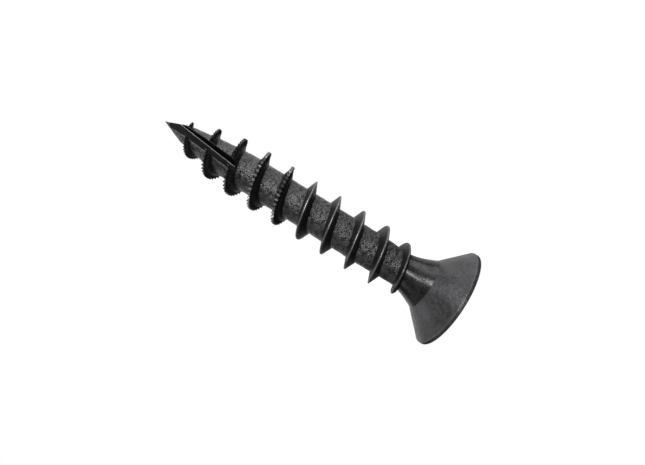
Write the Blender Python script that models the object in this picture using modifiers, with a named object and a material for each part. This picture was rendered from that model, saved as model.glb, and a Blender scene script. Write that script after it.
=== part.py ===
"""Wood screw, 5 x 30 mm: countersunk head, six-lobe recess, coarse thread with a saw-toothed front
half, and a sharp point with a milled slot that clears the chips.

It stands on its head: the origin is the centre of the head's flat face and +Z runs to the point.
"""

import math

import bmesh
import bpy

MM = 0.001

# Overall
LENGTH = 29.3 * MM
SEAM = 0.02 * MM  # hairline between neighbouring sub-parts

# Head, a 90 degree countersink with a thin straight rim
HEAD_RADIUS = 4.45 * MM
HEAD_RIM = 0.3 * MM
HEAD_HALF_ANGLE = math.radians(45)
HEAD_SEGMENTS = 72

# Six-lobe recess, driver size 25
RECESS_OUTER_RADIUS = 2.25 * MM
RECESS_INNER_RADIUS = 1.625 * MM
RECESS_LOBE_RADIUS = 0.375 * MM
RECESS_WEB = 0.38 * MM  # metal between the recess floor and the crease under the head
ARC_STEPS = 6

# Neck, flaring from the shank to the crease
CREASE_RADIUS = 2.37 * MM
NECK_LENGTH = 2.4 * MM
NECK_RADIUS = 1.53 * MM
FLARE_POWER = 1.5
NECK_STEPS = 6

# Shank core
SHANK_RADIUS = 1.625 * MM
SHANK_SWELL = 3.0 * MM  # length over which the core grows from the neck to its full radius
SWELL_STEPS = 6
CORE_SEGMENTS = 46

# Point: a slender taper that ends in a short cone
POINT_LENGTH = 9.0 * MM
TAPER_POWER = 1.5
TIP_CONE_LENGTH = 2.1 * MM
TIP_CONE_RADIUS = 0.8 * MM
POINT_STEPS = 8

# Thread, right-handed with one start
PITCH = 2.42 * MM
THREAD_HEIGHT = 0.975 * MM
CREST_LAND = 0.1 * MM
TIP_FLANK = 0.35 * MM  # how far along the axis the flank that faces the point runs
HEAD_FLANK = 0.42 * MM  # and the flank that faces the head
THREAD_PHASE = 0.38 * MM  # height at which the helix first crosses +X
THREAD_FIRST = 1.5 * MM  # from the very tip to where the thread starts
THREAD_FIRST_SHARE = 0.4  # its height there, as a share of the full height
THREAD_GROWTH = 4.9 * MM  # length over which it reaches the full height
RUNOUT_END = 1.25 * MM  # from the crease to the thread's last point
RUNOUT_LENGTH = 2.75 * MM
RUNOUT_SHARE = 0.62
RUNOUT_FADE = 0.35 * MM
RUNOUT_CLOSING = 0.4 * MM  # how far the thread's last point is drawn in towards the point
CLOSING_LENGTH = 4.1 * MM
PLAIN_STEPS = 54  # per turn

# Saw teeth on the front half of the thread
TEETH_PER_TURN = 38
TOOTH_DEPTH = 0.18 * MM
TEETH_LENGTH = 13.8 * MM  # how far back from the very tip the teeth reach

# Slot in the point
SLOT_LENGTH = 8.0 * MM  # from the very tip to the middle of its end wall
SLOT_WIDTH = 0.88 * MM
SLOT_FLOOR = 0.2 * MM  # distance of its floor from the axis
SLOT_TURN = math.radians(19.5)  # how far its opening is turned from -Y towards +X
SLOT_SKEW = math.radians(6)
SLOT_CENTRE = -0.58 * MM  # sideways offset at its end wall
SLOT_END_SLANT = math.radians(40)
POINT_MARGIN = 0.75 * MM  # core left between the slot's end and the seam to the shank
SUNK_FOOT = 0.1 * MM  # how deep the point's own turns are rooted in it

CREASE_Z = HEAD_RIM + (HEAD_RADIUS - CREASE_RADIUS) / math.tan(HEAD_HALF_ANGLE)
RECESS_DEPTH = CREASE_Z - RECESS_WEB
NECK_Z = CREASE_Z + NECK_LENGTH
POINT_Z = LENGTH - SLOT_LENGTH - POINT_MARGIN
TEETH_Z = LENGTH - TEETH_LENGTH
# The core's facet edges keep clear of the ridge's, which are at whole shares of a turn from +X.
CORE_START = 2 * math.pi / (2 * TEETH_PER_TURN) * 0.3
POINT_TURNS_Z = POINT_Z + CREST_LAND + HEAD_FLANK  # where the point's own turns begin
# Climb of the helix over which two lengths of ridge stand a seam apart at the foot.
END_GAP = SEAM / (2 * math.pi * SHANK_RADIUS) * PITCH


def clear_scene():
    for old in list(bpy.data.objects):
        bpy.data.objects.remove(old)


def collection(name):
    made = bpy.data.collections.new(name)
    bpy.context.scene.collection.children.link(made)
    return made


def metal(name, colour, roughness):
    made = bpy.data.materials.new(name)
    made.use_nodes = True
    shader = made.node_tree.nodes["Principled BSDF"]
    shader.inputs["Base Color"].default_value = (*colour, 1)
    shader.inputs["Roughness"].default_value = roughness
    shader.inputs["Metallic"].default_value = 0.6
    made.diffuse_color = (*colour, 1)
    return made


def core_radius(z):
    """Radius of the body under the thread at the height z."""
    if z < NECK_Z:
        share = (NECK_Z - z) / NECK_LENGTH
        return NECK_RADIUS + (CREASE_RADIUS - NECK_RADIUS) * share**FLARE_POWER
    to_tip = LENGTH - z
    if to_tip < TIP_CONE_LENGTH:
        return TIP_CONE_RADIUS * to_tip / TIP_CONE_LENGTH
    grown = min(1, (z - NECK_Z) / SHANK_SWELL)
    radius = NECK_RADIUS + (SHANK_RADIUS - NECK_RADIUS) * grown**2 * (3 - 2 * grown)
    if to_tip < POINT_LENGTH:
        share = (POINT_LENGTH - to_tip) / (POINT_LENGTH - TIP_CONE_LENGTH)
        radius -= (radius - TIP_CONE_RADIUS) * share**TAPER_POWER
    return radius


def between(low, high, steps):
    return [low + (high - low) * i / steps for i in range(steps + 1)]


def turned(name, profile, segments, where, start=0):
    """A solid of revolution about Z, with its first facet edge turned from +X by start.

    The profile holds (radius, height) from the top to the bottom.
    """
    mesh = bpy.data.meshes.new(name)
    edges = [(i, i + 1) for i in range(len(profile) - 1)]
    across, along = math.cos(start), math.sin(start)
    mesh.from_pydata([(r * across, r * along, z) for r, z in profile], edges, [])
    made = bpy.data.objects.new(name, mesh)
    where.objects.link(made)
    screw = made.modifiers.new("turn", "SCREW")
    screw.steps = screw.render_steps = segments
    screw.use_merge_vertices = True
    screw.merge_threshold = 1e-6
    screw.use_smooth_shade = True
    return made


def turned_core(name, low, high, where):
    """The stretch of the body between two heights, with flat ends or the tip itself."""
    bends = between(CREASE_Z, NECK_Z, NECK_STEPS)
    bends += between(NECK_Z, NECK_Z + SHANK_SWELL, SWELL_STEPS)
    bends += between(LENGTH - POINT_LENGTH, LENGTH - TIP_CONE_LENGTH, POINT_STEPS)
    inside = {z for z in bends if low + SEAM < z < high - SEAM}
    heights = [low, *sorted(inside), high]
    profile = [(core_radius(z), z) for z in reversed(heights) if z < LENGTH]
    return turned(name, [(0, high), *profile, (0, low)], CORE_SEGMENTS, where, CORE_START)


def prism(name, outline, depth, where):
    """A straight solid on a flat closed outline in its own XY plane, from z = 0 up to depth."""
    curve = bpy.data.curves.new(name, "CURVE")
    curve.dimensions = "2D"
    curve.fill_mode = "BOTH"
    curve.extrude = depth / 2
    spline = curve.splines.new("POLY")
    spline.points.add(len(outline) - 1)
    for point, (x, y) in zip(spline.points, outline):
        point.co = (x, y, 0, 1)
    spline.use_cyclic_u = True
    guide = bpy.data.objects.new(name, curve)
    where.objects.link(guide)
    graph = bpy.context.evaluated_depsgraph_get()
    mesh = bpy.data.meshes.new_from_object(guide.evaluated_get(graph))
    bpy.data.objects.remove(guide)
    work = bmesh.new()
    work.from_mesh(mesh)
    bmesh.ops.remove_doubles(work, verts=work.verts, dist=1e-6)
    bmesh.ops.translate(work, verts=work.verts, vec=(0, 0, depth / 2))
    bmesh.ops.recalc_face_normals(work, faces=work.faces)
    work.to_mesh(mesh)
    work.free()
    made = bpy.data.objects.new(name, mesh)
    where.objects.link(made)
    return made


def helper(made):
    made.hide_render = True
    made.display_type = "WIRE"
    return made


def boolean(made, operation, other):
    step = made.modifiers.new(f"{operation.lower()} {other.name}", "BOOLEAN")
    step.operation = operation
    step.object = other
    step.solver = "EXACT"


def helix_height(turn):
    """Height of an even helix after so many turns."""
    return THREAD_PHASE + PITCH * turn


def closing(z):
    """How far the run-out is drawn in at the height z of the even helix."""
    share = max(0, 1 - (z - CREASE_Z - RUNOUT_END) / CLOSING_LENGTH)
    return RUNOUT_CLOSING * share**2


def thread_height(z):
    """Height of the ridge above the core: low at the first turn and again where it runs out."""
    growth = (LENGTH - z - THREAD_FIRST) / THREAD_GROWTH
    start = min(1, THREAD_FIRST_SHARE + (1 - THREAD_FIRST_SHARE) * growth)
    above_end = max(0, z - CREASE_Z - RUNOUT_END)
    drop = max(0, 1 - above_end / RUNOUT_LENGTH)
    runout = RUNOUT_SHARE + (1 - RUNOUT_SHARE) * (1 - drop) ** 2
    fade = min(1, 0.3 + 0.7 * above_end / RUNOUT_FADE)
    return THREAD_HEIGHT * start * runout * fade


def ridge_section(turn, notch, lift):
    """The ridge's outline where the helix has made so many turns, as (radius, height) pairs."""
    even = helix_height(turn)
    middle = even + closing(even)
    height = thread_height(even)
    share = height / THREAD_HEIGHT
    low = middle - CREST_LAND / 2 - HEAD_FLANK * share
    high = middle + CREST_LAND / 2 + TIP_FLANK * share
    crest = (core_radius(low) + core_radius(high)) / 2 + height - notch * share
    return [
        (core_radius(low) + lift, low),
        (crest, middle - CREST_LAND / 2),
        (crest, middle + CREST_LAND / 2),
        (core_radius(high) + lift, high),
        (core_radius(middle) + lift, middle),
    ]


def ridge(name, low, high, toothed, lift, where):
    """The thread's ridge between two heights of the helix, as a loft through its sections.

    Its foot stands clear of the core by lift, or is sunk into it where lift is negative.
    """
    steps = 2 * TEETH_PER_TURN if toothed else PLAIN_STEPS
    first = (low - THREAD_PHASE) / PITCH
    last = (high - THREAD_PHASE) / PITCH
    whole = range(math.ceil(first * steps + 0.2), math.floor(last * steps - 0.2) + 1)
    work = bmesh.new()
    rings = []
    for turn in [first, *(step / steps for step in whole), last]:
        across, along = math.cos(2 * math.pi * turn), math.sin(2 * math.pi * turn)
        notched = toothed and round(turn * steps) % 2
        section = ridge_section(turn, TOOTH_DEPTH if notched else 0, lift)
        rings.append([work.verts.new((r * across, r * along, z)) for r, z in section])
    for ring, following in zip(rings, rings[1:]):
        for i in range(len(ring)):
            j = (i + 1) % len(ring)
            work.faces.new((ring[i], ring[j], following[j], following[i]))
    work.faces.new(rings[0])
    work.faces.new(reversed(rings[-1]))
    bmesh.ops.triangulate(work, faces=work.faces)
    bmesh.ops.recalc_face_normals(work, faces=work.faces)
    mesh = bpy.data.meshes.new(name)
    work.to_mesh(mesh)
    work.free()
    made = bpy.data.objects.new(name, mesh)
    where.objects.link(made)
    return made


def arc(centre, radius, start, end):
    angles = between(start, end, ARC_STEPS)
    return [(centre[0] + radius * math.cos(a), centre[1] + radius * math.sin(a)) for a in angles]


def six_lobe_outline():
    """Six outer lobes joined by six inner scallops, each arc tangent to the next."""
    lobe_centre = RECESS_OUTER_RADIUS - RECESS_LOBE_RADIUS
    # The scallop radius at which the distance between the centres equals the two radii.
    half = math.radians(30)
    known = lobe_centre**2 + RECESS_INNER_RADIUS**2 - RECESS_LOBE_RADIUS**2
    known -= 2 * lobe_centre * RECESS_INNER_RADIUS * math.cos(half)
    slope = RECESS_LOBE_RADIUS - RECESS_INNER_RADIUS + lobe_centre * math.cos(half)
    scallop = known / (2 * slope)
    scallop_centre = RECESS_INNER_RADIUS + scallop
    # Direction of the tangent point as each centre sees it.
    side = scallop_centre * math.sin(half)
    ahead = scallop_centre * math.cos(half) - lobe_centre
    lean = math.atan2(side, ahead)
    outline = []
    for lobe in range(6):
        middle = math.radians(60 * lobe)
        centre = (lobe_centre * math.cos(middle), lobe_centre * math.sin(middle))
        outline += arc(centre, RECESS_LOBE_RADIUS, middle - lean, middle + lean)
        beside = middle + half
        centre = (scallop_centre * math.cos(beside), scallop_centre * math.sin(beside))
        opening = lean - half
        back = beside + math.pi
        outline += arc(centre, scallop, back + opening, back - opening)[1:-1]
    return outline


def countersunk_head(parts, cutters):
    profile = [(0, CREASE_Z), (CREASE_RADIUS, CREASE_Z)]
    profile += [(HEAD_RADIUS, HEAD_RIM), (HEAD_RADIUS, 0), (0, 0)]
    head = turned("countersunk_head", profile, HEAD_SEGMENTS, parts)
    recess = helper(prism("recess_cutter", six_lobe_outline(), RECESS_DEPTH + 1 * MM, cutters))
    recess.location.z = -1 * MM
    boolean(head, "DIFFERENCE", recess)
    return head


def neck(parts):
    return turned_core("neck", CREASE_Z + SEAM, NECK_Z, parts)


def shank_core(parts):
    return turned_core("shank_core", NECK_Z + SEAM, POINT_Z, parts)


def slot_outline(reach):
    """The slot seen from the front, with its slanted end wall at the origin and its open end ahead."""
    half = SLOT_WIDTH / 2
    slant = half * math.tan(SLOT_END_SLANT)
    return [(-half, -slant), (half, slant), (half, reach), (-half, reach)]


def fluted_point(parts, cutters):
    point = turned_core("fluted_point", POINT_Z + SEAM, LENGTH, parts)
    last = LENGTH - THREAD_FIRST
    turns = ridge("point_turns", POINT_TURNS_Z, last, True, -SUNK_FOOT, cutters)
    boolean(point, "UNION", helper(turns))
    reach = SLOT_LENGTH + 1 * MM
    depth = SHANK_RADIUS + THREAD_HEIGHT + 1 * MM
    slot = helper(prism("slot_cutter", slot_outline(reach), depth, cutters))
    slot.rotation_euler = (math.radians(90), SLOT_SKEW, SLOT_TURN)
    across, along = math.cos(SLOT_TURN), math.sin(SLOT_TURN)
    slot.location.x = SLOT_CENTRE * across + SLOT_FLOOR * along
    slot.location.y = SLOT_CENTRE * along - SLOT_FLOOR * across
    slot.location.z = LENGTH - SLOT_LENGTH
    boolean(point, "DIFFERENCE", slot)
    return point


def serrated_thread(parts):
    last = POINT_TURNS_Z - END_GAP
    return ridge("serrated_thread", TEETH_Z, last, True, SEAM, parts)


def plain_thread(parts):
    last = TEETH_Z - END_GAP
    return ridge("plain_thread", CREASE_Z + RUNOUT_END, last, False, SEAM, parts)


def main():
    clear_scene()
    parts = collection("wood_screw")
    cutters = collection("cutters")
    coat = (0.045, 0.045, 0.047)
    finish = {
        countersunk_head(parts, cutters): ("head_coat", coat, 0.42),
        neck(parts): ("neck_coat", coat, 0.4),
        shank_core(parts): ("shank_coat", (0.04, 0.04, 0.042), 0.55),
        plain_thread(parts): ("plain_thread_coat", (0.035, 0.035, 0.037), 0.5),
        serrated_thread(parts): ("serrated_thread_coat", (0.035, 0.035, 0.037), 0.55),
        fluted_point(parts, cutters): ("point_coat", (0.035, 0.035, 0.037), 0.5),
    }
    for made, (name, colour, roughness) in finish.items():
        made.data.materials.append(metal(name, colour, roughness))
        if not made.modifiers:
            made.data.shade_smooth()
            made.data.set_sharp_from_angle(angle=math.radians(25))


main()
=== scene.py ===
import bmesh
import bpy
import numpy as np
from mathutils import Matrix, Vector


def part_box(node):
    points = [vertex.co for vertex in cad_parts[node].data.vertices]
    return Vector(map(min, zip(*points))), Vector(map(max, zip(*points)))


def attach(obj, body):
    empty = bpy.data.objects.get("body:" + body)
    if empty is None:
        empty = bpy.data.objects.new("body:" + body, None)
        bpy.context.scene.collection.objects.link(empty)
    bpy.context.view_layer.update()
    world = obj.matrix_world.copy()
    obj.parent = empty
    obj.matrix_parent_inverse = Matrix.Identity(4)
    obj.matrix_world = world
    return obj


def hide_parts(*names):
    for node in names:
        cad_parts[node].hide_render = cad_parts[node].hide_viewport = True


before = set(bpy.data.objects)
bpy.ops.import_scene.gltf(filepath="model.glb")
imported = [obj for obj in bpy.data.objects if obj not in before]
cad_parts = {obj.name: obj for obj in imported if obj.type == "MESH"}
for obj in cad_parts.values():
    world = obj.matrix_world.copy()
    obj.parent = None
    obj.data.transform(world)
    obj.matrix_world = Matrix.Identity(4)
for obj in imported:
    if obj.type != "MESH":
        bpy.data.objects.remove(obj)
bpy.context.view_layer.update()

# Black countersunk wood screw. Every CAD region gets a finer surface in the same place, so the
# hairlines between them close up. The shapes below are worked out in millimetres.
mm = 0.001
fullTurn = 2 * np.pi


def millimetres(corner):
    return np.array(corner) / mm


headBox = [millimetres(c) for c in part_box("countersunk_head")]
neckBox = [millimetres(c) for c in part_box("neck")]
shankBox = [millimetres(c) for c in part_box("shank_core")]
plainBox = [millimetres(c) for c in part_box("plain_thread")]
pointBox = [millimetres(c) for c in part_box("fluted_point")]

headRadius = headBox[1][0]
creaseHeight = headBox[1][2]
creaseRadius = neckBox[1][0]
neckTop = (neckBox[1][2] + shankBox[0][2]) / 2
pointFoot = (shankBox[1][2] + pointBox[0][2]) / 2
tipHeight = pointBox[1][2]
print("frame: tip at %.2f mm, head radius %.3f mm" % (tipHeight, headRadius))


core = {
    "neckRadius": 1.53,
    "flarePower": 1.5,
    "shankRadius": 1.625,
    "swellLength": 3.0,
    "pointLength": 9.0,
    "taperPower": 1.5,
    "tipConeLength": 2.1,
    "tipConeRadius": 0.8,
    "columns": 216,  # round the screw
    "rowSpacing": 0.055,
    "relief": [(0.55, 0.016, 11), (0.27, 0.016, 12), (0.14, 0.007, 13)],  # cell, depth, seed
    "reliefSunk": 0.008,
    "reliefFrom": 0.5,  # the relief grows from this far under the neck's top, over reliefRise
    "reliefRise": 1.4,
    "reliefLeast": 0.03,
    "reliefTip": 3.0,  # and fades over this length before the tip
    "sharpFrom": 40,
}
noise = {
    "length": 34,  # a little longer than the screw
    "lean": 0.063,  # how far the lattice turns per millimetre, so that it has no grain
    "sway": 0.6,  # how many cells its rows rise and fall round the screw
}


def coreRadius(z):
    # Neck: a flare that grows as a power of the way to the head. Shank: a smooth step out to its
    # full radius, less a power of the way along the point. Tip: a straight cone.
    neckShare = np.clip((neckTop - z) / (neckTop - creaseHeight), 0, 1)
    flare = (creaseRadius - core["neckRadius"]) * neckShare ** core["flarePower"]
    flare = core["neckRadius"] + flare
    grown = np.clip((z - neckTop) / core["swellLength"], 0, 1)
    shank = core["shankRadius"] - core["neckRadius"]
    shank = core["neckRadius"] + shank * grown**2 * (3 - 2 * grown)
    toTip = tipHeight - z
    taper = core["pointLength"] - core["tipConeLength"]
    share = np.clip((core["pointLength"] - toTip) / taper, 0, 1)
    point = shank - (shank - core["tipConeRadius"]) * share ** core["taperPower"]
    cone = core["tipConeRadius"] * np.maximum(toTip, 0) / core["tipConeLength"]
    radius = np.where(z < neckTop, flare, point)
    return np.where(toTip < core["tipConeLength"], cone, radius)


def wrappedNoise(angle, height, cell, seed):
    # Smooth noise from -1 to 1 on the unrolled screw: random values one cell apart, joined by a
    # smooth step each way, closing on itself round the screw.
    around = max(3, round(fullTurn * core["shankRadius"] / cell))
    rows = int(noise["length"] / cell) + 4
    values = np.random.default_rng(seed).uniform(-1, 1, (rows, around))
    across = (angle / fullTurn + noise["lean"] * height) % 1 * around
    along = height / cell + 1 + noise["sway"] * np.sin(angle)
    along = np.clip(along, 0, rows - 1.001)
    i, j = np.floor(across).astype(int), np.floor(along).astype(int)
    u, v = across - i, along - j
    u, v = u * u * (3 - 2 * u), v * v * (3 - 2 * v)
    i, beside = i % around, (i + 1) % around
    low = values[j, i] * (1 - u) + values[j, beside] * u
    high = values[j + 1, i] * (1 - u) + values[j + 1, beside] * u
    return low * (1 - v) + high * v


def relief(angle, height, layers):
    # The sum of several noises, each with its own cell, depth and seed.
    return sum(depth * wrappedNoise(angle, height, cell, seed) for cell, depth, seed in layers)


def rowsBetween(low, high, spacing):
    return np.linspace(low, high, max(2, int(np.ceil((high - low) / spacing)) + 1))


def closedSkin(name, rings, attributes=None):
    # Rings of points (rows, columns, 3) are joined by quads that wrap round the columns, and each
    # end is closed by a fan to its centre. A negative enclosed volume turns the whole skin over.
    rows, columns = rings.shape[:2]
    ends = np.array([rings[0].mean(0), rings[-1].mean(0)])
    points = np.concatenate([rings.reshape(-1, 3), ends]) * mm
    grid = np.arange(rows * columns).reshape(rows, columns)
    beside = np.roll(grid, -1, 1)
    quads = np.stack([grid[:-1], beside[:-1], beside[1:], grid[1:]], -1).reshape(-1, 4)
    first, last = np.full(columns, rows * columns), np.full(columns, rows * columns + 1)
    fans = np.concatenate([
        np.stack([beside[0], grid[0], first], -1), np.stack([grid[-1], beside[-1], last], -1)])
    a, b, c, d = (points[quads[:, i]] for i in range(4))
    volume = np.einsum("ij,ij", np.cross(a, b), c) + np.einsum("ij,ij", np.cross(a, c), d)
    a, b, c = (points[fans[:, i]] for i in range(3))
    volume += np.einsum("ij,ij", np.cross(a, b), c)
    if volume < 0:
        quads, fans = quads[:, ::-1], fans[:, ::-1]
    mesh = bpy.data.meshes.new(name)
    mesh.from_pydata(points.tolist(), [], quads.tolist() + fans.tolist())
    for label, values in (attributes or {}).items():
        field = mesh.attributes.new(label, "FLOAT", "POINT")
        values = np.concatenate([values.ravel(), [values[0].mean(), values[-1].mean()]])
        field.data.foreach_set("value", values.astype(np.float32))
    made = bpy.data.objects.new(name, mesh)
    bpy.context.scene.collection.objects.link(made)
    return made


def smoothed(piece, degrees):
    # Smooth shading, in which edges that turn by more than these degrees stay crisp.
    piece.data.shade_smooth()
    piece.data.set_sharp_from_angle(angle=np.radians(degrees))
    return piece


def turnedRings(radius, height, columns):
    # A profile of radii and heights carried round the axis; the radius may vary round it.
    angle = np.arange(columns) / columns * fullTurn
    angle = np.broadcast_to(angle, (len(height), columns))
    radius = np.broadcast_to(radius if radius.ndim == 2 else radius[:, None], angle.shape)
    height = np.broadcast_to(height[:, None], angle.shape)
    return np.stack([radius * np.cos(angle), radius * np.sin(angle), height], -1)


def linear(hexColour):
    # sRGB to linear: a channel up to 0.04045 is divided by 12.92, and a higher one has 0.055
    # added, is divided by 1.055 and raised to 2.4.
    channels = [int(hexColour[i:i + 2], 16) / 255 for i in (1, 3, 5)]
    return (*(c / 12.92 if c <= 0.04045 else ((c + 0.055) / 1.055) ** 2.4 for c in channels), 1)


def addNode(tree, kind, inputs, **settings):
    made = tree.nodes.new("ShaderNode" + kind)
    for name, value in settings.items():
        setattr(made, name, value)
    for socket, value in inputs.items():
        if isinstance(value, bpy.types.NodeSocket):
            tree.links.new(value, made.inputs[socket])
        else:
            made.inputs[socket].default_value = value
    return made


def perMetre(sizeMm):
    # How many cells of this size fit in a metre, which is a texture's scale on Object coordinates.
    return 1 / (sizeMm * mm)


def phosphate(name, look):
    # Manganese phosphate on hardened steel, oiled: a grey-black crystal coat. The eye sees a dark
    # satin with cloudy patches, fine crystal sparkle, and paler, smoother metal where it is worn,
    # which on crests and edges is also a painted highlight; a mask adds near-black painted shade.
    made = bpy.data.materials.new(name)
    made.use_nodes = True
    tree = made.node_tree
    shader = tree.nodes["Principled BSDF"]
    place = addNode(tree, "TexCoord", {}).outputs["Object"]
    if "stretch" in look:
        stretched = addNode(tree, "Mapping", {"Vector": place, "Scale": look["stretch"]})
        grainPlace = stretched.outputs["Vector"]
    else:
        grainPlace = place
    clouds = addNode(tree, "TexNoise", {
        "Vector": place, "Scale": perMetre(look["cloudMm"]), "Detail": 3, "Roughness": 0.55})
    grain = addNode(tree, "TexNoise", {
        "Vector": grainPlace, "Scale": perMetre(look["grainMm"]), "Detail": 2, "Roughness": 0.6})
    crystals = addNode(tree, "TexVoronoi", {
        "Vector": place, "Scale": perMetre(look["crystalMm"]), "Randomness": 1.0})
    cloudy = addNode(tree, "MapRange", {
        "Value": clouds.outputs[0], "From Min": 0.35, "From Max": 0.65})
    grainy = addNode(tree, "MapRange", {
        "Value": grain.outputs[0], "From Min": 0.38, "From Max": 0.62})
    coat = addNode(tree, "Mix", {
        0: cloudy.outputs[0], 6: linear(look["dark"]), 7: linear(look["pale"])}, data_type="RGBA")
    speck = addNode(tree, "Math", {
        0: grainy.outputs[0], 1: look["speckle"]}, operation="MULTIPLY")
    coat = addNode(tree, "Mix", {
        0: speck.outputs[0], 6: coat.outputs[2], 7: linear(look["speck"])}, data_type="RGBA")
    # wear mask: rubbed metal, and on crests and edges a painted highlight, paler and smoother
    wornAndHighlit = addNode(tree, "Attribute", {}, attribute_name="wearAndHighlight")
    broken = addNode(tree, "MapRange", {
        "Value": grain.outputs[0], "From Min": 0.3, "From Max": 0.7, "To Min": 0.55, "To Max": 1.0})
    wearAndHighlight = addNode(tree, "Math", {
        0: wornAndHighlit.outputs["Fac"], 1: broken.outputs[0]}, operation="MULTIPLY")
    coat = addNode(tree, "Mix", {
        0: wearAndHighlight.outputs[0], 6: coat.outputs[2], 7: linear(look["wornAndHighlit"])}, data_type="RGBA")
    # painted shade: this mask darkens the coat towards near-black in the recess, the thread roots
    # and the notches
    shaded = addNode(tree, "Attribute", {}, attribute_name="paintedShadeMask")
    coat = addNode(tree, "Mix", {
        0: shaded.outputs["Fac"], 6: coat.outputs[2], 7: linear(look["deep"])}, data_type="RGBA")
    tree.links.new(coat.outputs[2], shader.inputs["Base Color"])
    dull = addNode(tree, "MapRange", {
        "Value": grain.outputs[0], "From Min": 0.3, "From Max": 0.7,
        "To Min": look["roughness"] - look["roughnessSpread"],
        "To Max": look["roughness"] + look["roughnessSpread"]})
    dull = addNode(tree, "Mix", {
        0: wearAndHighlight.outputs[0], 2: dull.outputs[0], 3: look["wornRoughness"]})
    tree.links.new(dull.outputs[0], shader.inputs["Roughness"])
    pits = addNode(tree, "Bump", {
        "Height": crystals.outputs["Distance"], "Strength": look["crystalBump"],
        "Distance": look["crystalMm"] * mm * 0.5})
    lumps = addNode(tree, "Bump", {
        "Height": grain.outputs[0], "Strength": look["grainBump"],
        "Distance": look["grainMm"] * mm * 0.5, "Normal": pits.outputs[0]})
    tree.links.new(lumps.outputs[0], shader.inputs["Normal"])
    shader.inputs["Metallic"].default_value = look["metallic"]
    shader.inputs["Specular IOR Level"].default_value = look.get("specular", 0.5)
    return made


finishes = {
    # each finish's near-black colour is painted shade for hollows, and its pale worn colour is
    # rubbed metal and also a painted highlight
    # cold-headed in a polished die before coating: the smoothest satin, softly clouded
    "forgedPhosphate": {
        "dark": "#313132", "pale": "#48484a", "speck": "#5c5c5e", "wornAndHighlit": "#8f8f90",
        "deep": "#0b0b0c", "speckle": 0.3, "roughness": 0.42, "roughnessSpread": 0.08,
        "wornRoughness": 0.3, "metallic": 0.6, "cloudMm": 1.3, "grainMm": 0.3,
        "crystalMm": 0.09, "crystalBump": 0.12, "grainBump": 0.2},
    # drawn through the die at the neck: a clear gloss, so the light box shows as a streak
    "drawnPhosphate": {
        "dark": "#29292a", "pale": "#3b3b3c", "speck": "#4e4e50", "wornAndHighlit": "#8f8f90",
        "deep": "#0b0b0c", "speckle": 0.25, "roughness": 0.25, "roughnessSpread": 0.06,
        "wornRoughness": 0.25, "metallic": 0.7, "cloudMm": 0.8, "grainMm": 0.2,
        "crystalMm": 0.08, "crystalBump": 0.06, "grainBump": 0.05},
    # rolled root between the threads: scaly, with crumbled crystal patches
    "rolledRootPhosphate": {
        "dark": "#222223", "pale": "#424243", "speck": "#6e6e70", "wornAndHighlit": "#9a9a9b",
        "deep": "#0b0b0c", "speckle": 0.4, "roughness": 0.36, "roughnessSpread": 0.14,
        "wornRoughness": 0.3, "metallic": 0.6, "cloudMm": 0.55, "grainMm": 0.3,
        "crystalMm": 0.14, "crystalBump": 0.5, "grainBump": 0.8},
    # flanks squeezed between rolling dies: streaks along the ridge and a worn crest; their darker
    # tone is painted shade between the turns
    "rolledFlankShadedPhosphate": {
        "dark": "#1a1a1b", "pale": "#2a2a2b", "speck": "#424243", "wornAndHighlit": "#868688",
        "deep": "#101011", "speckle": 0.35, "roughness": 0.4, "roughnessSpread": 0.1,
        "wornRoughness": 0.28, "metallic": 0.6, "cloudMm": 0.5, "grainMm": 0.2,
        "crystalMm": 0.08, "crystalBump": 0.25, "grainBump": 0.35},
    # the milled slot: its walls are dull, and their near-black tone is painted shade inside the
    # slot
    "milledShadedPhosphate": {
        "dark": "#070708", "pale": "#0e0e0f", "speck": "#1b1b1c", "wornAndHighlit": "#a2a2a4",
        "deep": "#050505", "speckle": 0.3, "roughness": 0.55, "roughnessSpread": 0.08,
        "wornRoughness": 0.3, "metallic": 0.2, "specular": 0.1, "cloudMm": 0.6, "grainMm": 0.1,
        "stretch": (1, 1, 0.12), "crystalMm": 0.07, "crystalBump": 0.15, "grainBump": 0.3},
    # burrs of the milled slot's lips, rubbed back to steel, and a corner strip inside the slot:
    # pale metal that paints thin highlight lines
    "burnishedHighlightEdge": {
        "dark": "#434345", "pale": "#5a5a5c", "speck": "#7a7a7c", "wornAndHighlit": "#b0b0b2",
        "deep": "#0b0b0c", "speckle": 0.4, "roughness": 0.38, "roughnessSpread": 0.08,
        "wornRoughness": 0.3, "metallic": 0.9, "cloudMm": 0.5, "grainMm": 0.15,
        "crystalMm": 0.07, "crystalBump": 0.1, "grainBump": 0.15},
}
materials = {name: phosphate(name, look) for name, look in finishes.items()}


def settle(piece, node, slot, *names):
    # Every piece of the screw rides on its one body and stands for one CAD region.
    for name in names:
        piece.data.materials.append(materials[name])
    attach(piece, "root")
    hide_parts(node)
    print("%s: %d faces" % (piece.name, len(piece.data.polygons)))
    return piece


head = {
    "rim": 0.3,
    "rimRounding": 0.035,
    "faceRounding": 0.07,
    "lobeReach": 2.25,  # six-lobe recess, driver size 25
    "scallopReach": 1.625,
    "lobeRadius": 0.375,
    "recessDepth": 2.0,
    "recessChamfer": 0.09,
    "recessFillet": 0.16,
    "chamferSteepness": 1.6,
    "rimEase": 1.4,  # how much further down the cone the rim's rounding reaches
    "faceEase": 1.2,  # above 1, the face's rows stay round for longer on their way in
    "floorLeast": 0.12,  # the recess floor's last row, as a share of its outline
    "columns": 432,
    "relief": [(1.1, 0.006, 21), (0.4, 0.003, 22)],
    "reliefSunk": 0.006,
    "rimWear": 0.27,
    "wearWidth": 0.05,
    "shadeFrom": 0.25,  # depth at which the recess starts to darken with painted shade, and over what depth
    "shadeOver": 0.9,
    "shadeMost": 0.75,
    "sharpFrom": 32,
}


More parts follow.
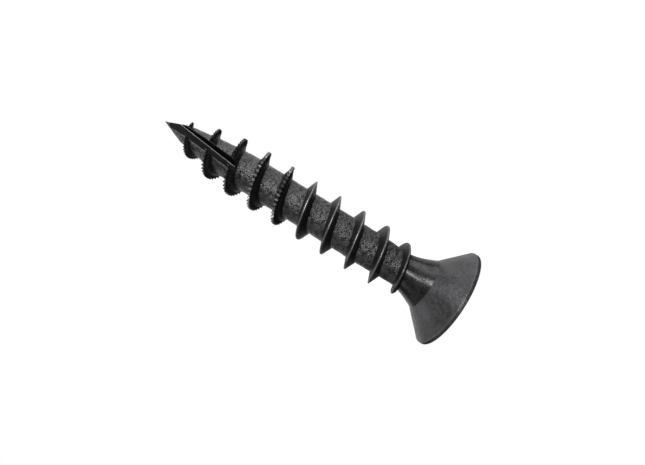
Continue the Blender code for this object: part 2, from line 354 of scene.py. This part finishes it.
def sixLobes(angle):
    # Distance to the recess wall in each direction: on a lobe, the far side of a circle about a
    # point on the lobe's middle line; on a scallop, the near side of a circle outside the wall.
    # The scallop's radius makes the two circles touch, and the wall changes over where they do.
    half = fullTurn / 12
    lobeCentre = head["lobeReach"] - head["lobeRadius"]
    known = lobeCentre**2 + head["scallopReach"] ** 2 - head["lobeRadius"] ** 2
    known -= 2 * lobeCentre * head["scallopReach"] * np.cos(half)
    slope = head["lobeRadius"] - head["scallopReach"] + lobeCentre * np.cos(half)
    scallop = known / (2 * slope)
    scallopCentre = head["scallopReach"] + scallop
    lean = np.arctan2(scallopCentre * np.sin(half), scallopCentre * np.cos(half) - lobeCentre)
    touchSide = head["lobeRadius"] * np.sin(lean)
    touchAhead = lobeCentre + head["lobeRadius"] * np.cos(lean)
    touch = np.arctan2(touchSide, touchAhead)
    fromLobe = (angle + half) % (2 * half) - half
    side = lobeCentre * np.sin(fromLobe)
    onLobe = lobeCentre * np.cos(fromLobe)
    onLobe = onLobe + np.sqrt(np.maximum(head["lobeRadius"] ** 2 - side**2, 0))
    fromScallop = half - np.abs(fromLobe)
    side = scallopCentre * np.sin(fromScallop)
    onScallop = scallopCentre * np.cos(fromScallop)
    onScallop = onScallop - np.sqrt(np.maximum(scallop**2 - side**2, 0))
    return np.where(np.abs(fromLobe) < touch, onLobe, onScallop)


def quarterRound(steps):
    # Shares of a rounding's two legs as it turns through a right angle.
    angle = np.linspace(0, np.pi / 2, steps)
    return np.sin(angle), 1 - np.cos(angle)


def buildHead():
    # Rows run from the crease's centre out, down the cone, round the rim, in over the face and
    # into the recess. Each row blends a circle into the six-lobe outline by its lobe share.
    rows = []  # circle's radius, lobe share, offset from the lobes, scale of the lobes, height

    def add(circle, share, offset, scale, height):
        for values in np.broadcast(circle, share, offset, scale, height):
            rows.append(values)

    add(np.linspace(0.2, 0.96, 8) * creaseRadius, 0, 0, 1, creaseHeight)
    coneRun = np.linspace(0, 1, 44)
    coneFoot = headRadius - head["rimRounding"]
    footHeight = head["rim"] + head["rimRounding"]
    add(creaseRadius + (coneFoot - creaseRadius) * coneRun, 0, 0, 1,
        creaseHeight + (footHeight - creaseHeight) * coneRun)
    into, over = (shares[1:] for shares in quarterRound(6))
    add(coneFoot + head["rimRounding"] * into, 0, 0, 1,
        footHeight - head["rimRounding"] * head["rimEase"] * over)
    rimRun = np.linspace(head["rim"] - head["rimRounding"], head["faceRounding"], 7)
    add(headRadius, 0, 0, 1, rimRun)
    add(headRadius - head["faceRounding"] * over, 0, 0, 1, head["faceRounding"] * (1 - into))
    faceRun = np.linspace(0, 1, 26)[1:] ** head["faceEase"]
    add(headRadius - head["faceRounding"], faceRun, head["recessChamfer"], 1, 0)
    wallTop = head["recessChamfer"] * head["chamferSteepness"]
    add(0, 1, head["recessChamfer"] * (1 - into), 1, wallTop * over)
    wallFoot = head["recessDepth"] - head["recessFillet"]
    add(0, 1, 0, 1, np.linspace(wallTop, wallFoot, 16)[1:])
    add(0, 1, -head["recessFillet"] * over, 1, wallFoot + head["recessFillet"] * into)
    floorRun = np.linspace(1, head["floorLeast"], 14)[1:]
    add(0, 1, -head["recessFillet"], floorRun, head["recessDepth"])
    circle, share, offset, scale, height = (np.array(column) for column in zip(*rows))
    angle = np.arange(head["columns"]) / head["columns"] * fullTurn
    lobes = (sixLobes(angle)[None, :] + offset[:, None]) * scale[:, None]
    radius = circle[:, None] * (1 - share[:, None]) + lobes * share[:, None]
    angles = np.broadcast_to(angle, radius.shape)
    outer = (share[:, None] == 0) & (height[:, None] > 0.02)
    dents = relief(angles, height[:, None] * 2.0 + radius, head["relief"])
    radius = radius - np.where(outer, np.maximum(dents + head["reliefSunk"], 0), 0)
    rings = turnedRings(radius, height, head["columns"])
    # a pale ring at the edge between cone and rim: rubbed metal, and also a painted highlight
    edge = np.exp(-((height - head["rim"]) / head["wearWidth"]) ** 2) * (circle > headRadius - 0.2)
    wearAndHighlight = np.broadcast_to(head["rimWear"] * edge[:, None], radius.shape)
    # painted shade that deepens down into the recess
    deep = np.clip((height - head["shadeFrom"]) / head["shadeOver"], 0, 1) * (share == 1)
    deep = np.broadcast_to(head["shadeMost"] * deep[:, None], radius.shape)
    piece = closedSkin("countersunkHead", rings, {"wearAndHighlight": wearAndHighlight, "paintedShadeMask": deep})
    return smoothed(piece, head["sharpFrom"])


settle(buildHead(), "countersunk_head", "head_coat", "forgedPhosphate")


def coreRings(low, high):
    # The body's radius at each height, less a relief that fades out towards the smooth neck.
    height = rowsBetween(low, high, core["rowSpacing"])
    angle = np.arange(core["columns"]) / core["columns"] * fullTurn
    rough = relief(angle[None, :], height[:, None], core["relief"])
    fade = (height - neckTop + core["reliefFrom"]) / core["reliefRise"]
    fade = np.clip(fade, core["reliefLeast"], 1) ** 1.5
    fade = fade * np.clip((tipHeight - height) / core["reliefTip"], 0, 1)
    radius = coreRadius(height)[:, None] + (rough - core["reliefSunk"]) * fade[:, None]
    return turnedRings(radius, height, core["columns"])


def buildCore(name, low, high):
    rings = coreRings(low, high)
    flat = np.zeros(rings.shape[:2])
    return smoothed(closedSkin(name, rings, {"wearAndHighlight": flat, "paintedShadeMask": flat}), core["sharpFrom"])


settle(
    buildCore("flaredNeck", creaseHeight, neckTop),
    "neck", "neck_coat", "drawnPhosphate")
settle(
    buildCore("rolledShank", neckTop, pointFoot),
    "shank_core", "shank_coat", "rolledRootPhosphate")


thread = {
    "pitch": 2.42,
    "height": 0.975,
    "crestLand": 0.1,
    "tipFlank": 0.35,
    "headFlank": 0.42,
    "phase": 0.38,
    "first": 1.5,  # from the tip to the first turn, whose height is firstShare of the full one
    "firstShare": 0.4,
    "growth": 4.9,  # the height grows to its full value over this length
    "pointFade": 1.2,  # over this length the first turn rises out of the point, from pointLeast
    "pointLeast": 0.15,
    "runoutEnd": 1.25,  # from the crease to the thread's end
    "runoutLength": 2.75,
    "runoutShare": 0.62,
    "runoutFade": 0.35,
    "runoutLeast": 0.3,
    "runoutClosing": 0.4,  # how far the last turn leans towards its neighbour
    "closingLength": 4.1,
    "mostBulge": 0.85,  # the run-out's share of half an ellipse
    "root": 0.12,  # how far the flanks run on under the core's skin, as a share of their height
    "sunk": 0.3,  # how deep the underside lies inside the core
    "crown": 0.012,  # how far the crest's middle stands above its edges
    "stepsPerTurn": 240,
    "wave": [(1.9, 0.007, 31), (0.6, 0.004, 32)],
    "wearAndHighlight": 0.9,
    "wearReach": 0.1,  # share of the height over which the crest is worn, which is also a painted highlight
    "rootShade": 0.55,
    "sharpFrom": 28,
}
teeth = {
    "perTurn": 38,
    "depth": 0.32,
    "stepsPerTooth": 14,
    "headReach": 0.6,  # how far down the flank a notch runs, as a share of the height
    "tipReach": 0.85,
    "pinch": 0.6,  # share of the ridge's width that is lost in a notch
    "bulge": 0.145,  # half width of a tooth's top, whose metal its notches push aside
    "bulgeDepth": 0.4,
    "spread": 0.25,  # each notch has its own depth, down to this share less
    "easeIn": 3,  # the teeth grow over this many from the plain crest
    "leastWear": 0.45,  # each tooth's top has its own share of rub and painted highlight, from this to mostWear
    "mostWear": 1.5,
}
teethStart = plainBox[1][2] - thread["crestLand"] / 2 - thread["tipFlank"]


def helixHeight(turn):
    # The ridge climbs one pitch in each turn, from its phase.
    return thread["phase"] + thread["pitch"] * turn


def turnsAt(height):
    # The turn at which the ridge reaches a height.
    return (height - thread["phase"]) / thread["pitch"]


def ridgeHeight(z):
    # Low at the first turn, full along the screw, lower in the run-out and least at its end. Also
    # gives how far into the run-out this is.
    growth = (tipHeight - z - thread["first"]) / thread["growth"]
    start = np.minimum(1, thread["firstShare"] + (1 - thread["firstShare"]) * growth)
    risen = np.clip((tipHeight - z - thread["first"]) / thread["pointFade"], 0, 1)
    risen = risen**2 * (3 - 2 * risen)
    start = start * (thread["pointLeast"] + (1 - thread["pointLeast"]) * risen)
    aboveEnd = np.maximum(0, z - creaseHeight - thread["runoutEnd"])
    drop = np.maximum(0, 1 - aboveEnd / thread["runoutLength"])
    runout = thread["runoutShare"] + (1 - thread["runoutShare"]) * (1 - drop) ** 2
    fade = (1 - thread["runoutLeast"]) * aboveEnd / thread["runoutFade"]
    fade = np.minimum(1, thread["runoutLeast"] + fade)
    return thread["height"] * start * runout * fade, drop


def notchShare(turn, seed):
    # A row of notches round the crest: a ramp up to the middle of each step and down again, so the
    # teeth between them are pointed. Each notch has its own share.
    count = turn * teeth["perTurn"]
    number = np.floor(count).astype(int)
    change = np.random.default_rng(seed).uniform(1 - teeth["spread"], 1.0, 2000)
    return (1 - np.abs(2 * (count - number) - 1)) * change[number]


def buildRidge(name, firstTurn, lastTurn, seed, toothed=False, easedIn=False):
    # The ridge's outline, carried along the helix. Across it, the flanks fall in straight lines
    # from the crest land to the core; in the run-out they bulge towards half an ellipse.
    steps = teeth["perTurn"] * teeth["stepsPerTooth"] if toothed else thread["stepsPerTurn"]
    turn = np.linspace(firstTurn, lastTurn, int((lastTurn - firstTurn) * steps) + 1)[:, None]
    halfLand = thread["crestLand"] / 2
    even = helixHeight(turn)
    share = np.clip(1 - (even - creaseHeight - thread["runoutEnd"]) / thread["closingLength"], 0, 1)
    middle = even + thread["runoutClosing"] * share**2
    height, drop = ridgeHeight(even)
    scale = height / thread["height"]
    # each flank's rows, from just under the core's skin (over 1) up to the crest (0)
    down = np.array([1 + thread["root"], 1, 0.9, 0.78, 0.64, 0.5, 0.36, 0.24, 0.14, 0.06, 0])
    land = np.linspace(-1, 1, 5)[1:-1]
    edge = halfLand * np.ones(len(down))
    across = np.concatenate([
        -thread["headFlank"] * down, 0 * land, thread["tipFlank"] * down[::-1]])
    offset = np.concatenate([-edge, halfLand * land, edge])
    up = np.concatenate([1 - down, np.ones(len(land)), 1 - down[::-1]])[None, :]
    crown = np.concatenate([0 * down, 1 - land**2, 0 * down])[None, :]
    along = offset[None, :] + across[None, :] * scale
    low = middle - halfLand - thread["headFlank"] * scale
    high = middle + halfLand + thread["tipFlank"] * scale
    crest = (coreRadius(low) + coreRadius(high)) / 2 + height
    half = (high - low) / 2
    inside = np.clip(np.abs(middle + along - (high + low) / 2) / half, 0, 1)
    ellipse = np.where(up < 0, up, np.sqrt(1 - inside**2))
    bulge = np.clip(drop * 1.6 - 0.35, 0, thread["mostBulge"])
    rise = up * (1 - bulge) + ellipse * bulge
    foot = coreRadius(middle + along)
    wave = relief(turn * fullTurn, even, thread["wave"])
    radius = foot + (crest - thread["crown"] + wave - foot) * rise
    radius = radius + thread["crown"] * crown * (1 - bulge)
    wornAndHighlit = np.exp(-((1 - up) / thread["wearReach"]) ** 2) * np.ones_like(radius)
    notch = np.zeros_like(along)
    if toothed:
        # a notch lowers the crest and pinches the flanks; a tooth's sides bulge to stand straight
        grown = scale
        if easedIn:
            fromStart = (turn - firstTurn) * teeth["perTurn"]
            grown = scale * np.clip(fromStart / teeth["easeIn"], 0, 1)
        share = notchShare(turn, seed) * grown
        reach = np.where(offset[None, :] < 0, teeth["headReach"], teeth["tipReach"])
        bite = np.clip((up - 1 + reach) / reach, 0, 1)
        notch = share * np.clip(bite * 2, 0, 1)
        radius = radius - share * teeth["depth"] * bite**0.8
        along = along * (1 - teeth["pinch"] * notch)
        side = np.clip(offset[None, :] / halfLand, -1, 1)
        swell = side * teeth["bulge"] * (grown - share)
        wider = (up > 1 - teeth["bulgeDepth"]) & (np.abs(swell) > np.abs(along))
        along = np.where(wider, swell, along)
        rubbedAndHighlit = np.random.default_rng(seed + 40)
        rubbedAndHighlit = rubbedAndHighlit.uniform(teeth["leastWear"], teeth["mostWear"], 2000)
        wornAndHighlit = wornAndHighlit * rubbedAndHighlit[np.round(turn * teeth["perTurn"]).astype(int)]
    else:
        wornAndHighlit = wornAndHighlit * thread["wearAndHighlight"]
    # the crest is worn, and carries a painted highlight, between the notches, and the root and the
    # notches get painted shade
    wornAndHighlit = wornAndHighlit * (1 - 0.8 * bulge) * (1 - 0.9 * notch)
    deep = np.clip(1 - up, 0, 1) ** 0.7 * thread["rootShade"]
    deep = np.clip(deep * (1 - 0.5 * bulge) + 0.5 * notch, 0, 1)
    # the underside closes inside the core, where no light falls
    inner = np.zeros((len(turn), 2))
    wornAndHighlit, deep = np.concatenate([wornAndHighlit, inner], 1), np.concatenate([deep, inner], 1)
    sunk = coreRadius(middle) - thread["sunk"] * np.minimum(1, scale)
    sunk = np.maximum(np.minimum(sunk, radius[:, :1]), 0.02)
    under = np.concatenate([along[:, -1:] * 0.5, along[:, :1] * 0.5], 1)
    along = np.concatenate([along, under], 1)
    radius = np.concatenate([radius, sunk, sunk], 1)
    angle = turn * fullTurn
    rings = np.stack([radius * np.cos(angle), radius * np.sin(angle), middle + along], -1)
    piece = closedSkin(name, rings, {"wearAndHighlight": wornAndHighlit, "paintedShadeMask": deep})
    return smoothed(piece, thread["sharpFrom"])


pointTurnsStart = pointFoot + thread["crestLand"] + thread["headFlank"]
runoutFoot = creaseHeight + thread["runoutEnd"]
settle(
    buildRidge("plainThread", turnsAt(runoutFoot), turnsAt(teethStart), 1),
    "plain_thread", "thread_coat", "rolledFlankShadedPhosphate")
settle(
    buildRidge("serratedThread", turnsAt(teethStart), turnsAt(pointTurnsStart), 2, True, True),
    "serrated_thread", "serration_coat", "rolledFlankShadedPhosphate")


slot = {
    "length": 8.0,
    "width": 0.88,
    "floor": 0.2,
    "turn": 19.5,  # how far its opening is turned from -Y towards +X
    "skew": 6.0,
    "centre": -0.58,
    "endSlant": 40.0,
    "fillet": 0.1,
    "filletRows": 6,
    "edgeBreak": 0.1,  # how far the lips are broken back
    "lipDrop": 0.1,  # how far the walls' tops lie under the skin
    "lipRise": 0.03,  # how far the lips' outer edges stand above it
    "stations": 60,
    "pastTip": 0.6,
    "above": 5.0,  # how high the cutter stands, clear of every turn
    "sliver": 0.0005,  # edges shorter than this collapse after the cuts
    "sharpFrom": 30,
}


def buildSlotCutter():
    # The slot's section is a floor, two fillets, two straight walls and two lips that break the
    # edges of the walls back. It is carried along the slot from its slanted end past the tip, and
    # the walls' height follows the core's radius at each station.
    half, broken, fillet = slot["width"] / 2, slot["edgeBreak"], slot["fillet"]
    skew, turned = np.radians(slot["skew"]), np.radians(slot["turn"])
    along = np.linspace(0, 1, slot["stations"])[:, None] * (slot["length"] + slot["pastTip"])
    one = np.ones_like(along)
    into, over = quarterRound(slot["filletRows"])
    corner = half - fillet + fillet * into
    across = np.concatenate([-corner[::-1], corner])
    rise = slot["floor"] + fillet * np.concatenate([over[::-1], over])
    centre = slot["centre"] + along * np.tan(skew)
    skin = coreRadius(tipHeight - slot["length"] + along)
    lowest = slot["floor"] + fillet + broken + 0.01
    outer = half + broken
    edges = np.array([-outer, -half, half, outer])
    lips = np.sqrt(np.maximum(skin**2 - (centre + edges) ** 2, 0))
    drop, lift = slot["lipDrop"], slot["lipRise"]
    lips = np.maximum(lips + np.array([lift, -drop, -drop, lift]), lowest)
    across = np.concatenate([[-outer, -outer, -half], across, [half, outer, outer]]) * one
    top = slot["above"] * one
    tops = np.concatenate([top, lips[:, :2], rise * one, lips[:, 2:], top], 1)
    slant = across * np.tan(np.radians(slot["endSlant"])) * (1 - along / along[-1])
    u = centre + across
    x = u * np.cos(turned) + tops * np.sin(turned)
    y = u * np.sin(turned) - tops * np.cos(turned)
    z = tipHeight - slot["length"] + along + slant
    flat = np.zeros_like(x)
    cutter = closedSkin("slotCutter", np.stack([x, y, z], -1), {"wearAndHighlight": flat, "paintedShadeMask": flat})
    for name in ("milledShadedPhosphate", "burnishedHighlightEdge"):
        cutter.data.materials.append(materials[name])
    # pale steel on the two lips' strips, rubbed burrs that also carry a painted highlight, and on
    # the far fillet's first two, next to the floor, a painted highlight line
    columns = x.shape[1]
    farFillet = columns - 3 - slot["filletRows"]
    column = np.arange((slot["stations"] - 1) * columns) % columns
    values = np.zeros(len(cutter.data.polygons), dtype=np.int32)
    values[:len(column)] = np.isin(column, [1, farFillet, farFillet + 1, columns - 3])
    cutter.data.polygons.foreach_set("material_index", values)
    return cutter


def cutBy(piece, cutter, operation):
    # An exact Boolean, made final at once. Each skin keeps its own material.
    step = piece.modifiers.new("cut", "BOOLEAN")
    step.operation, step.object, step.solver = operation, cutter, "EXACT"
    step.material_mode = "TRANSFER"
    graph = bpy.context.evaluated_depsgraph_get()
    mesh = bpy.data.meshes.new_from_object(piece.evaluated_get(graph))
    piece.modifiers.clear()
    old, piece.data = piece.data, mesh
    mesh.name = piece.name
    bpy.data.meshes.remove(old)


def clearSlivers(piece):
    # Where two skins cross, slivers collapse, and a corner that joins only two edges is dissolved,
    # so that each edge has exactly one triangle on either side.
    shape = bmesh.new()
    shape.from_mesh(piece.data)
    bmesh.ops.dissolve_degenerate(shape, edges=shape.edges, dist=slot["sliver"] * mm)
    spare = [corner for corner in shape.verts if len(corner.link_edges) == 2]
    while spare:
        bmesh.ops.dissolve_verts(shape, verts=spare)
        spare = [corner for corner in shape.verts if len(corner.link_edges) == 2]
    shape.to_mesh(piece.data)
    shape.free()


point = buildCore("slottedPoint", pointFoot, tipHeight)
point.data.materials.append(materials["rolledRootPhosphate"])
firstTurnHeight = tipHeight - thread["first"]
turns = buildRidge("pointTurns", turnsAt(pointTurnsStart), turnsAt(firstTurnHeight), 3, True)
turns.data.materials.append(materials["rolledFlankShadedPhosphate"])
cutBy(point, turns, "UNION")
slotCutter = buildSlotCutter()
cutBy(point, slotCutter, "DIFFERENCE")
for used in (turns, slotCutter):
    bpy.data.objects.remove(used)
clearSlivers(point)
smoothed(point, slot["sharpFrom"])
settle(point, "fluted_point", "point_coat")


stage = {
    "radius": 400.0,
    "backdropRadius": 480.0,
    "below": 0.02,
    "sides": 64,
    "white": "#ffffff",
    "glow": 1.0,
    "floorTone": 0.16,
    "litShare": 0.75,  # how much of the floor's tone the lights give back near the screw
    "nearEdge": 12.0,
    "farEdge": 40.0,
    "airGrey": 0.1,
}


def stageMaterial(name, tone):
    # Matt white paper lit from behind, so it stays an even white; seen from behind it is clear.
    # Near the screw part of its white is the light that falls on it, so that a soft shadow shows.
    made = bpy.data.materials.new(name)
    made.use_nodes = True
    tree = made.node_tree
    tree.nodes.remove(tree.nodes["Principled BSDF"])
    place = addNode(tree, "TexCoord", {}).outputs["Object"]
    away = addNode(tree, "VectorMath", {0: place}, operation="LENGTH")
    glow = addNode(tree, "MapRange", {
        "Value": away.outputs["Value"], "From Min": stage["nearEdge"] * mm,
        "From Max": stage["farEdge"] * mm, "To Min": stage["glow"] - tone * stage["litShare"],
        "To Max": stage["glow"]})
    light = addNode(tree, "Emission", {
        "Color": linear(stage["white"]), "Strength": glow.outputs[0]})
    paper = addNode(tree, "BsdfDiffuse", {"Color": (tone, tone, tone, 1)})
    both = addNode(tree, "AddShader", {0: light.outputs[0], 1: paper.outputs[0]})
    clear = addNode(tree, "BsdfTransparent", {})
    behind = addNode(tree, "NewGeometry", {}).outputs["Backfacing"]
    surface = addNode(tree, "MixShader", {
        0: behind, 1: both.outputs[0], 2: clear.outputs[0]})
    tree.links.new(surface.outputs[0], tree.nodes["Material Output"].inputs["Surface"])
    return made


def buildStage():
    # A round floor just under the screw's head, and a sphere about it that faces inwards.
    sides = stage["sides"]
    angle = np.arange(sides) / sides * fullTurn
    disc = np.stack([np.cos(angle), np.sin(angle), 0 * angle], -1) * stage["radius"]
    disc[:, 2] = -stage["below"]
    mesh = bpy.data.meshes.new("paleFloor")
    mesh.from_pydata((disc * mm).tolist(), [], [list(range(sides))])
    floor = bpy.data.objects.new("paleFloor", mesh)
    mesh.materials.append(stageMaterial("floorPaper", stage["floorTone"]))
    tilt = np.linspace(-0.5, 0.5, 34)[1:-1] * np.pi
    reach = stage["backdropRadius"]
    rings = turnedRings(np.cos(tilt) * reach, np.sin(tilt) * reach, sides)
    dome = closedSkin("whiteBackdrop", rings)
    dome.data.flip_normals()
    dome.data.materials.append(stageMaterial("backdropPaper", 0.0))
    bpy.context.scene.collection.objects.link(floor)
    for piece in (floor, dome):
        piece.visible_diffuse = piece.visible_glossy = False
        piece.visible_transmission = piece.visible_shadow = False


buildStage()
print("stage: floor and backdrop")

# name: degrees round from the camera's side towards +X, degrees up, distance, width, height, and
# the brightness of the box's face
lights = {
    "streakBox": (20, 42, 90, 12, 30, 32.0),
    "frontBox": (6, 6, 90, 13, 60, 18.0),
    "sideBox": (75, 20, 90, 70, 90, 1.9),
    "tipBox": (0, 88, 110, 60, 60, 0.7),
    "upperBox": (125, 42, 110, 130, 110, 0.82),
    "lowerBox": (-120, 45, 110, 90, 90, 1.2),
    "lowBox": (-70, -5, 90, 50, 60, 0.9),
    "backBox": (180, 5, 110, 150, 120, 0.4),
    "rimBox": (0, -30, 90, 50, 20, 0.8),
    "creaseBox": (135, 6, 110, 90, 50, 0.6),
    "underBox": (-140, 6, 110, 80, 50, 0.7),
}


def buildLights():
    aim = Vector((0, 0, 12))  # a little under the screw's middle
    for name, (around, up, distance, width, height, glow) in lights.items():
        around, up = np.radians(around), np.radians(up)
        away = Vector((np.sin(around) * np.cos(up), -np.cos(around) * np.cos(up), np.sin(up)))
        data = bpy.data.lights.new(name, "AREA")
        data.shape, data.size, data.size_y = "RECTANGLE", width * mm, height * mm
        data.energy = glow * np.pi * data.size * data.size_y
        light = bpy.data.objects.new(name, data)
        light.location = (aim + away * distance) * mm
        light.rotation_euler = away.to_track_quat("Z", "Y").to_euler()
        light.visible_camera = False
        bpy.context.scene.collection.objects.link(light)
    world = bpy.data.worlds.new("studio")
    bpy.context.scene.world = world
    world.use_nodes = True
    air = world.node_tree.nodes["Background"]
    air.inputs["Color"].default_value = (*[stage["airGrey"]] * 3, 1)


buildLights()
print("lights: %d boxes" % len(lights))

view = {
    "lens": 22.0,
    "place": (0.0, -34.285, 10.614),
    "rise": 2.556,  # degrees above level
    "aside": -1.532,  # degrees towards +X
    "roll": 57.85,
}


def buildCamera():
    data = bpy.data.cameras.new("camera")
    data.lens, data.sensor_width = view["lens"], 36
    data.clip_start, data.clip_end = 1 * mm, 3.0
    camera = bpy.data.objects.new("camera", data)
    rise, aside, roll = (np.radians(view[key]) for key in ("rise", "aside", "roll"))
    ahead = Vector((np.sin(aside) * np.cos(rise), np.cos(aside) * np.cos(rise), np.sin(rise)))
    turned = ahead.to_track_quat("-Z", "Y").to_matrix() @ Matrix.Rotation(-roll, 3, "Z")
    camera.matrix_world = Matrix.Translation(Vector(view["place"]) * mm) @ turned.to_4x4()
    bpy.context.scene.collection.objects.link(camera)
    bpy.context.scene.camera = camera


buildCamera()
print("camera: %.0f mm lens" % view["lens"])
bpy.context.scene.view_settings.view_transform = "Standard"
